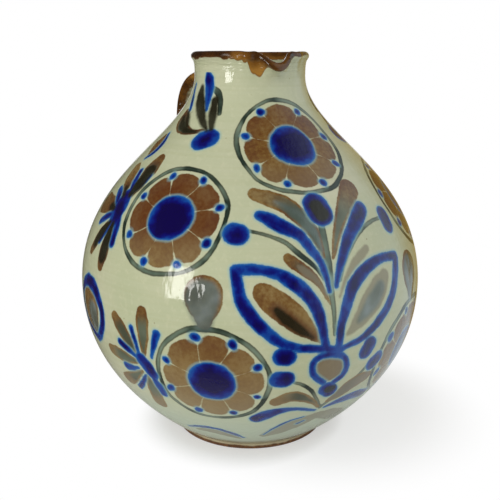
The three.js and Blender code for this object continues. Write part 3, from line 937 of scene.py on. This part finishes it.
# %% What flows between nodes
class Flow:
    """A number, a colour or a vector on its way through a node tree."""

    def __init__(self, socket):
        self.socket = socket
        self.tree = socket.id_data

    def step(self, operation, *others):
        """One node of arithmetic."""
        inputs = dict(enumerate((self, *others)))
        return add(self.tree, "ShaderNodeMath", 0, inputs, operation=operation)

    __add__ = partialmethod(step, "ADD")
    __sub__ = partialmethod(step, "SUBTRACT")
    __mul__ = partialmethod(step, "MULTIPLY")
    __truediv__ = partialmethod(step, "DIVIDE")
    __pow__ = partialmethod(step, "POWER")
    __abs__ = partialmethod(step, "ABSOLUTE")


def shade(code):
    """A written colour as linear red, green, blue and alpha."""
    channels = [int(code[i : i + 2], 16) / 255 for i in (1, 3, 5)]
    return [c / 12.92 if c <= 0.04045 else ((c + 0.055) / 1.055) ** 2.4 for c in channels] + [1.0]


def wire(node, inputs):
    """Joins each input that comes from a node, and sets any other to its value or written colour."""
    for key, value in inputs.items():
        if isinstance(value, Flow):
            node.id_data.links.new(value.socket, node.inputs[key])
        else:
            node.inputs[key].default_value = shade(value) if isinstance(value, str) else value


def add(tree, kind, output, inputs=None, **settings):
    """Adds a node and gives one of its outputs, or several where output is a list."""
    node = tree.nodes.new(kind)
    for name, value in settings.items():
        setattr(node, name, value)
    wire(node, inputs or {})
    if isinstance(output, list):
        return [Flow(node.outputs[key]) for key in output]
    return Flow(node.outputs[output])


# %% Sums, masks and layers
def least(first, second):
    """The lower of two numbers."""
    return first.step("MINIMUM", second)


def most(first, second):
    """The higher of two numbers."""
    return first.step("MAXIMUM", second)


def between(value, start, end, low=0.0, high=1.0):
    """Eases from low to high while value goes from start to end."""
    inputs = {"Value": value, "From Min": start, "From Max": end, "To Min": low, "To Max": high}
    return add(value.tree, "ShaderNodeMapRange", 0, inputs, interpolation_type="SMOOTHSTEP")


def mask(distance, soft=0.4):
    """1 inside a mark and 0 outside it, with a soft edge."""
    return between(distance, soft, -soft)


def over(amount, under, upper):
    """Lays the upper colour over the one under it."""
    return add(amount.tree, "ShaderNodeMix", 2, {0: amount, 6: under, 7: upper}, data_type="RGBA")


def parts(flow, kind="XYZ"):
    """The three numbers in a vector, or in a colour."""
    return add(flow.tree, "ShaderNodeSeparate" + kind, [0, 1, 2], {0: flow})


# %% Noise, bumps, stored numbers and ramps
def cloud(where, scale, detail=2.0):
    """Soft noise from 0 to 1."""
    return add(where.tree, "ShaderNodeTexNoise", 0, {"Vector": where, "Scale": scale, "Detail": detail})


def streaked(where, across, upwards, detail=2.0):
    """Soft noise that is finer or coarser upwards than it is across."""
    stretch = {"Vector": where, "Scale": (across, across, upwards)}
    return cloud(add(where.tree, "ShaderNodeMapping", 0, stretch), 1.0, detail)


def swing(noise, reach):
    """Noise that swings to both sides of 0."""
    return noise.step("MULTIPLY_ADD", 2 * reach, -reach)


def bumped(relief, strength, distance, under=None):
    """A surface with some relief, laid over another such surface."""
    inputs = {"Height": relief, "Strength": strength, "Distance": distance}
    if under:
        inputs["Normal"] = under
    return add(relief.tree, "ShaderNodeBump", 0, inputs)


def stored(tree, name, output="Fac"):
    """What the points of a piece carry under a name."""
    return add(tree, "ShaderNodeAttribute", output, attribute_name=name)


def stops(value, *colours):
    """A ramp of written colours, each with its place from 0 to 1."""
    ramp = add(value.tree, "ShaderNodeValToRGB", 0, {0: value})
    elements = ramp.socket.node.color_ramp.elements
    while len(elements) < len(colours):
        elements.new(0.5)
    for element, (place, code) in zip(elements, colours):
        element.position = place
        element.color = shade(code)
    return ramp


# %% [markdown]
# ### Pale glaze
# The ground is a grey-green glaze over a light clay. It is never one colour: it clouds slowly over the belly,
# turns to a warm tan at the very foot where it is thin, and has fine streaks from the wheel and a few iron
# specks. Low on the belly it is cooler and paler, which is a painted reflection of the white table. The
# surface is glossy with the faint orange peel of a thick glaze and low rings from throwing. Where the grey
# was laid on, the glaze stands in small drops.

# %% Pale ground and its surface
STREAKS, MOTTLE, SPECKS = 0.22, 0.16, 0.6  # how strong each of them is
TABLE_REFLECTION_BELOW = 0.07, 0.025  # metres up, between which a painted reflection of the white table makes the glaze cooler and paler
TAN_BELOW = 0.014, 0.004  # and between which it thins to tan
RING_RELIEF, PEEL_RELIEF, DROP_RELIEF = 0.4 * MM, 0.5 * MM, 1.0 * MM
IN_GREY = 1.0, -4.0  # millimetres from the edge of a grey mark, between which the drops grow


def pale_ground(where, height):
    """The colour of the unpainted glaze."""
    colour = stops(cloud(where, 14, 3), (0.3, "#b0b695"), (0.52, "#babd9e"), (0.72, "#c4c4a8"))
    colour = over(between(streaked(where, 6, 420, 3), 0.35, 0.7, high=STREAKS), colour, "#a9ad86")
    colour = over(between(cloud(where, 330), 0.5, 0.75, high=MOTTLE), colour, "#d6d3b4")
    cell = {"Vector": where, "Scale": 190}
    from_middle, cell_colour = add(where.tree, "ShaderNodeTexVoronoi", ["Distance", "Color"], cell)
    few = between(parts(cell_colour, "Color")[0], 0.86, 0.9, high=SPECKS)
    colour = over(between(from_middle, 0.13, 0.05) * few, colour, "#6f5a36")
    # painted reflection of the white table: the glaze is cooler and paler low on the belly
    colour = over(between(height, *TABLE_REFLECTION_BELOW, high=0.7), colour, "#b3c4b2")
    return over(between(height, *TAN_BELOW, high=0.9), colour, "#b3a684")


def thrown_surface(where, with_painting):
    """Bumps of the wheel and of the glaze, with drops in the grey leaves or streaks along the lip."""
    rings = bumped(streaked(where, 3, 300, 1), 0.25, RING_RELIEF)
    peel = bumped(streaked(where, 300, 110), 0.35, PEEL_RELIEF, rings)
    if with_painting:
        in_grey = between(stored(where.tree, "grey"), *IN_GREY)
        relief = streaked(where, 140, 70, 1) * in_grey
    else:
        relief = streaked(where, 50, 500)
    return bumped(relief, 1.0, DROP_RELIEF, peel)


# %% [markdown]
# ### Parts of a rosette
# The stored place in a rosette is bent a little by noise, as a hand would do it, and then measured round its
# middle. One petal and one dot are described, and wrapping the angle repeats each of them eight times.

# %% Distances in a rosette, in millimetres
HEART_RADIUS = 15.4
PETAL_HALF_TURN = 0.388  # radians
PETAL_MIDDLE, PETAL_OUT, PETAL_IN = 22.8, 9.2, 16.0  # where a petal is widest, and its reach both ways
PETAL_ROUND = 2.4  # 2 is an oval, more is squarer
PETAL_SCALE = 8.0  # makes a distance of a petal's shape
DOT_RING = 30.6
DOT_RADIUS, DOT_MORE = 1.8, 2.2  # the smallest dot, and how much larger the largest is
RING_RADIUS = 35.6
RING_HALF, RING_MORE = 0.75, 1.7  # half width of the ring where it is thinnest, and how much it grows
HAND_REACH = 2.5  # how far the hand strays outwards
HAND_TURN = 0.25  # and round the middle, in radians
EIGHTH = math.pi / 4


def petals_and_dots(where):
    """Distances to the heart, the petals, the dots and the ring, and the height over the middle."""
    sideways, upwards, reach = parts(stored(where.tree, "rosette", "Vector"))
    noise = {"Vector": where, "Scale": 32, "Detail": 1}
    hand = parts(add(where.tree, "ShaderNodeTexNoise", "Color", noise), "Color")
    radius = reach + swing(hand[0], HAND_REACH)
    angle = upwards.step("ARCTAN2", sideways) + swing(hand[1], HAND_TURN)
    across = abs(angle.step("WRAP", EIGHTH / 2, -EIGHTH / 2) / PETAL_HALF_TURN)
    past_middle = radius - PETAL_MIDDLE
    along = most(past_middle / PETAL_OUT, past_middle / -PETAL_IN)
    petal = (across**PETAL_ROUND + along**PETAL_ROUND) ** (1 / PETAL_ROUND)
    dot_side = (angle.step("WRAP", EIGHTH, 0.0) - EIGHTH / 2) * radius
    dot_out = radius - DOT_RING
    dot = (dot_side * dot_side + dot_out * dot_out) ** 0.5 - (hand[2] * DOT_MORE + DOT_RADIUS)
    ring = abs(radius - RING_RADIUS) - (hand[1] * RING_MORE + RING_HALF)
    return radius - HEART_RADIUS, (petal - 1.0) * PETAL_SCALE, dot, ring, upwards


# %% [markdown]
# ### Cobalt, iron and the grey-green line
# The stored distances become masks with a soft edge that wanders a little, as a wet brush does on dry clay.
# Cobalt is deep navy where it lies thick, bright blue at its edge, and bleeds a pale halo into the glaze.
# The brown is redder high on the shoulder, and paler low on the belly, where that is a painted reflection of
# the white table. The lower petals of a rosette are paler too, with a painted reflection haze, and the grey
# wash is partly a painted reflection, a pale bluish sheen. A brown leaf turns grey-green in its middle. The
# thin line is greyer, and darker along both of its edges where the wash dried last.

# %% Colours of the marks
STRAYS, FRAYS = 0.8, 0.4  # millimetres that the edge of a mark wanders, slowly and finely
BROWN_COVERS, WASH_COVERS, GREY_AND_SHEEN_COVERS = 0.96, 0.72, 0.8  # how much they hide of what is under them
WASH_SOFT, GREY_SOFT, OLIVE_SOFT, BLUE_SOFT = 1.0, 2.2, 1.3, 0.5  # millimetres of soft edge
LINE_EDGE, LEAF_EDGE = (-0.2, -1.5), (-0.7, -2.4)  # between which a mark's edge turns into its middle
LEAF_TIP = 0.95, 0.5, 0.1, 1.0  # shares of a leaf's length, and how grey-green its middle is there
HALO, BLUE_EDGE = (2.0, 0.2), (0.3, -1.7)  # the pale halo round a blue mark, and its bright edge
NEAR_OLIVE = 4.5, 0.5  # between which the brown reddens beside an olive mark
BROWN_REFLECTION_BELOW = 0.125, 0.06  # metres up, between which the brown pales with a painted reflection of the white table
SHOULDER_FROM, SHOULDER_TO = (0.145, 0.165), (0.205, 0.19)  # and where the petals are thickest
FILM_REACH, FILM_SOFT = 8.5, 2.5  # the film of brown between the petals, past the heart
IN_RING = 20.0, 17.0  # where the petals' own browns end, past the heart
UPPER_PETALS, LOWER_PETALS = (4.0, 26.0), (0.0, -24.0)  # over the middle of a rosette; the lower petals take a painted reflection haze
BLUE_DEPTH, BLUE_CLOUDS = 8.0, 17.0  # millimetres to the deepest blue, and how far that varies


def painted(where, height, ground):
    """Lays the lines, the browns, the greys and the blue over the ground."""
    mark = {name: stored(where.tree, name) for name in MARKS}
    wander = swing(cloud(where, 150, 1), STRAYS) + swing(cloud(where, 700), FRAYS)
    load = cloud(where, 45)  # how much paint the brush held
    heart, petal, dot, ring, over_middle = petals_and_dots(where)

    line = least(mark["stem"], ring) + wander * 0.5
    line_middle = stops(load, (0.4, "#28352d"), (0.5, "#3f554c"), (0.62, "#4f6a60"))
    line_colour = over(between(line, *LINE_EDGE), "#1c2820", line_middle)
    colour = over(mask(line) * between(load, 0.62, 0.36, 0.78, 1.0), ground, line_colour)

    grain = cloud(where, 420, 3) * 0.4 + load * 0.6
    olive = mark["olive"] + wander
    brown = stops(grain, (0.38, "#5b310b"), (0.5, "#6f4d20"), (0.62, "#83693d"))
    # painted reflection of the white table: the brown is paler low on the belly
    brown = over(between(height, *BROWN_REFLECTION_BELOW, high=0.6), brown, "#8b7650")
    brown = over(between(olive, *NEAR_OLIVE, high=0.7), brown, "#4a1d07")
    colour = over(mask(heart - FILM_REACH, FILM_SOFT) * 0.5, colour, "#907b4e")
    in_ring = between(heart, *IN_RING)
    on_shoulder = between(height, *SHOULDER_FROM, high=0.65) * between(height, *SHOULDER_TO)
    thick = in_ring * most(on_shoulder, between(over_middle, *UPPER_PETALS, high=0.35))
    # painted reflection haze: the lower petals of a rosette are paler
    hazed_lower_petals = in_ring * between(over_middle, *LOWER_PETALS, high=0.3)
    petal_brown = over(hazed_lower_petals, over(thick, brown, "#531f04"), "#8b7a58")
    petal = least(mark["brown"], petal) + wander
    colour = over(mask(petal) * BROWN_COVERS, colour, petal_brown)

    leaf = mark["leaf"] + wander
    from_tip = between(stored(where.tree, "leaf_reach"), *LEAF_TIP)
    leaf_middle = stops(load, (0.35, "#3f4334"), (0.62, "#5c6454"))
    leaf_colour = over(between(leaf, *LEAF_EDGE) * from_tip, brown, leaf_middle)
    colour = over(mask(leaf) * BROWN_COVERS, colour, leaf_colour)
    colour = over(mask(mark["wash"] + wander, WASH_SOFT) * WASH_COVERS, colour, "#79705c")
    # The grey is a real wash and also a painted reflection: the pale bluish sheen on the bud and the right
    # inner leaf.
    grey_and_sheen_colour = stops(load, (0.36, "#4f5d58"), (0.5, "#5f6e6b"), (0.64, "#7c8b90"))
    colour = over(mask(mark["grey"] + wander, GREY_SOFT) * GREY_AND_SHEEN_COVERS, colour, grey_and_sheen_colour)

    blue = least(least(mark["cobalt"], heart), dot) + wander * 0.8
    colour = over(between(blue, *HALO, high=0.5), colour, "#86b0b0")
    depth = ((cloud(where, 85, 3) - 0.5) * -BLUE_CLOUDS - blue) / BLUE_DEPTH
    deep = stops(depth, (0.0, "#0e4090"), (0.2, "#09247c"), (0.45, "#090a62"), (0.8, "#0b0343"))
    blue_colour = over(between(blue, *BLUE_EDGE), "#2367a4", deep)
    colour = over(mask(blue, BLUE_SOFT), colour, blue_colour)
    olive_covers = between(load, 0.65, 0.35, 0.92, 0.99)
    return over(mask(olive, OLIVE_SOFT) * olive_covers, colour, "#1f1d11")


# %% [markdown]
# ### Brown rim glaze and bare clay
# The iron glaze is nearly black where it is thick, red-brown where it thins, and amber at its running edge.
# A film of glaze reaches over the top of the foot ring. Below that line the clay is bare: a dull red-brown
# with coarse grains.

# %% Brown glaze over the ground, and clay under it
RIM_STRAYS, RIM_POOLS = 0.8, 4.5  # how far the edge and the thinness wander
THINNEST = 16.0  # thinness at which the iron is palest
AMBER_EDGE = -1.6, -0.2  # millimetres from the edge
FOOT_LINE = 1.8 * MM, 0.8 * MM  # heights between which the film of glaze ends
FOOT_LINE_STRAYS = 2.4 * MM


def brown_rim(where, colour):
    """Lays the iron glaze where its stored distance is below zero."""
    edge = stored(where.tree, "iron") + swing(cloud(where, 260, 3), RIM_STRAYS)
    # beside and along the spout the thin pale brown is partly a painted highlight of the rolled lip
    thinness_and_highlight = (stored(where.tree, "iron_thinness_and_highlight") + swing(cloud(where, 110, 3), RIM_POOLS)) / THINNEST
    iron = stops(thinness_and_highlight, (0.05, "#2d190b"), (0.26, "#4d2e0f"), (0.5, "#7c521d"), (0.75, "#9c7030"))
    iron = over(between(edge, *AMBER_EDGE, high=0.6), iron, "#5c3412")
    return over(mask(edge, 0.5), colour, iron)


def bare_foot(where, height, film):
    """Shows the clay below the line where the glaze was wiped off."""
    clay = stops(cloud(where, 500, 3), (0.3, "#4e331d"), (0.55, "#6b4627"), (0.75, "#86603a"))
    line = height - cloud(where, 120) * FOOT_LINE_STRAYS
    return over(between(line, *FOOT_LINE), film, clay)


# %% [markdown]
# ### The three finishes
# The painted glaze covers the bowl, the shoulder and the collar. The lip and the handle share the brown
# glaze, which lets the pale ground show where it ran thin. The foot ring is clay. The roughness of the
# glazes stays low and varies a little, so that a lamp's reflection breaks up as it does on a real pot.

# %% Finishes for the pieces
GLAZE_BENDS_LIGHT = 1.55
GLAZE_ROUGHNESS = 0.05, 0.13
CLAY_ROUGHNESS = 0.75
CLAY_RELIEF = 0.4 * MM


def new_finish(name):
    """An empty finish, its shader and the place of each point on the piece."""
    finish = bpy.data.materials.new(name)
    finish.use_nodes = True
    tree = finish.node_tree
    return finish, tree.nodes["Principled BSDF"], add(tree, "ShaderNodeTexCoord", "Object")


def glazed(name, with_painting):
    """A glossy glaze, with or without the painting under it."""
    finish, gloss, where = new_finish(name)
    height = parts(where)[2]
    colour = pale_ground(where, height)
    if with_painting:
        colour = painted(where, height, colour)
    surface = thrown_surface(where, with_painting)
    wire(gloss, {"Base Color": brown_rim(where, colour), "Normal": surface, "IOR": GLAZE_BENDS_LIGHT})
    wire(gloss, {"Roughness": between(cloud(where, 60, 3), 0.3, 0.7, *GLAZE_ROUGHNESS)})
    print(name, "has", len(finish.node_tree.nodes), "nodes")
    return finish


painted_glaze = glazed("painted_pale_glaze", True)
iron_glaze = glazed("iron_brown_glaze", False)
bare_clay, clay_shader, clay_where = new_finish("bare_clay")
clay_grain = bumped(cloud(clay_where, 500, 4), 0.5, CLAY_RELIEF)
clay_colour = bare_foot(clay_where, parts(clay_where)[2], "#b0a586")
wire(clay_shader, {"Base Color": clay_colour, "Normal": clay_grain, "Roughness": CLAY_ROUGHNESS})

# %% [markdown]
# ## Put the pieces in place
# Every piece rides on the one body of the jug, stands for its solid and takes its finish.

# %% Materials, riders and solids
PIECES = [
    (foot_ring, "foot_ring", "bare_clay", bare_clay),
    (lower_bowl, "lower_bowl", "pale_glaze", painted_glaze),
    (shoulder, "shoulder", "pale_glaze", painted_glaze),
    (collar, "collar", "pale_glaze", painted_glaze),
    (lip, "lip", "brown_glaze", iron_glaze),
    (handle, "handle", "brown_glaze", iron_glaze),
]
for piece, solid, slot, finish in PIECES:
    piece.data.materials.append(finish)
    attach(piece, "root")
    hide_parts(solid)
print(len(PIECES), "pieces stand for", len(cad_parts), "solids")

# %% [markdown]
# ## Studio
# The jug stands on a white table before a white backdrop, by a tall window on its left. Seen by the
# camera, the table keeps a narrow shadow round the foot and a broad pale one on the right, and clears to
# pure white further off. The world is white to the camera too. What the glaze mirrors is the same white
# backdrop, a cool screen on the right with a warm shelf between the two, and a dim room elsewhere. All
# other light is soft and comes mostly from the camera's side.

# %% What the glaze mirrors
TO_SCREEN, TO_SHELF, TO_BACKDROP = 66, 128, 156  # degrees round the jug
SCREEN_RISE = 0.15
WHITE = (1, 1, 1, 1)
DIM_ROOM = (0.06, 0.05, 0.035, 1)
WARM_SHELF = (0.34, 0.23, 0.05, 1)
COOL_SCREEN = (0.82, 0.94, 1.0, 1)
RAYS = ["Is Camera Ray", "Is Glossy Ray", "Is Transmission Ray"]


def measure(operation, first, second=(0, 0, 0)):
    """A number from one vector or two."""
    return add(first.tree, "ShaderNodeVectorMath", "Value", {0: first, 1: second}, operation=operation)


def towards(way, degrees, start, full, rise=0.0):
    """Rises from 0 to 1 as a direction nears the one at some degrees round the jug."""
    return between(measure("DOT_PRODUCT", way, round_jug(degrees, 1, rise)), start, full)


def mirrored_room(way):
    """What a direction shows: the white backdrop, a screen, a warm shelf between, or a dim room."""
    room = over(towards(way, TO_SCREEN, 0.4, 0.95, SCREEN_RISE), DIM_ROOM, COOL_SCREEN)
    room = over(towards(way, TO_SHELF, 0.8, 0.97), room, WARM_SHELF)
    return over(towards(way, TO_BACKDROP, 0.95, 0.98), room, WHITE)


def rays_of(tree):
    """1 for what the camera sees, and 1 for what is seen in a mirror or through glass."""
    seen, glossy, transmitted = add(tree, "ShaderNodeLightPath", RAYS)
    return seen, most(glossy, transmitted)


# %% Floor
FLOOR_RADIUS, FLOOR_SIDES = 2.5, 96
TABLE_GREY, TABLE_ROUGHNESS = (0.85, 0.85, 0.85, 1), 0.6
SHADOW_MIDDLE = round_jug(80, 60 * MM, 0)  # middle of the broad shadow
FOOT_CLEARS = 0.06, 0.09, 0.47, 1.0  # from and to which distance the table clears, and from how much
SHADOW_CLEARS = 0.06, 0.135, 0.66, 1.0
MIRROR_CLEARS = 0.05, 0.24

floor_sheet = bmesh.new()
bmesh.ops.create_circle(floor_sheet, cap_ends=True, segments=FLOOR_SIDES, radius=FLOOR_RADIUS)
floor = fired("studio_floor", floor_sheet)
white, table, floor_where = new_finish("white_table")
wire(table, {"Base Color": TABLE_GREY, "Roughness": TABLE_ROUGHNESS})
floor_way = add(white.node_tree, "ShaderNodeVectorMath", 0, {0: floor_where}, operation="NORMALIZE")
from_axis = measure("LENGTH", floor_where)
from_shadow = measure("DISTANCE", floor_where, SHADOW_MIDDLE)
seen, mirrored = rays_of(white.node_tree)
clear_seen = seen * least(between(from_axis, *FOOT_CLEARS), between(from_shadow, *SHADOW_CLEARS))
clear_mirrored = mirrored * between(from_axis, *MIRROR_CLEARS)
floor_colour = over(mirrored, WHITE, mirrored_room(floor_way))
glow = add(white.node_tree, "ShaderNodeEmission", 0, {"Color": floor_colour, "Strength": 1.0})
layers = {0: most(clear_seen, clear_mirrored), 1: Flow(table.outputs[0]), 2: glow}
blend = add(white.node_tree, "ShaderNodeMixShader", 0, layers)
wire(white.node_tree.nodes["Material Output"], {"Surface": blend})
floor.data.materials.append(white)

# %% World
SHADED_SIDE, LIT_SIDE = (0.34, 0.33, 0.24, 1), (1.06, 1.06, 1.07, 1)
LIT_RISE = 0.4

world = bpy.data.worlds.new("studio_world")
world.use_nodes = True
bpy.context.scene.world = world
sky_way = add(world.node_tree, "ShaderNodeTexCoord", "Generated")
sky_seen, sky_mirrored = rays_of(world.node_tree)
sky_fill = over(towards(sky_way, CAMERA_TURN, -0.3, 1.0, LIT_RISE), SHADED_SIDE, LIT_SIDE)
sky_colour = over(sky_mirrored, sky_fill, mirrored_room(sky_way))
sky_colour = over(sky_seen, sky_colour, WHITE)
sky = add(world.node_tree, "ShaderNodeBackground", 0, {"Color": sky_colour, "Strength": 1.0})
sky_out = next(node for node in world.node_tree.nodes if node.type == "OUTPUT_WORLD")
wire(sky_out, {"Surface": sky})
print(world.name, "has", len(world.node_tree.nodes), "nodes")

# %% Window
WINDOW_TURN = -68  # degrees round the jug
WINDOW_DISTANCE, WINDOW_HEIGHT = 1.3, 0.35
WINDOW_AIM = 0.14  # the height on the axis that it points at
WINDOW_SIZE = 0.32, 0.5
WINDOW_POWER = 4.5
WINDOW_COLOUR = 1.0, 0.99, 0.95

window_data = bpy.data.lights.new("window", "AREA")
window_data.shape = "RECTANGLE"
window_data.size, window_data.size_y = WINDOW_SIZE
window_data.energy = WINDOW_POWER
window_data.color = WINDOW_COLOUR
window_dip = math.degrees(math.atan2(WINDOW_HEIGHT - WINDOW_AIM, WINDOW_DISTANCE))
facing_jug(window_data, WINDOW_TURN, WINDOW_DISTANCE, WINDOW_HEIGHT, window_dip)
bpy.context.scene.view_settings.view_transform = "Standard"
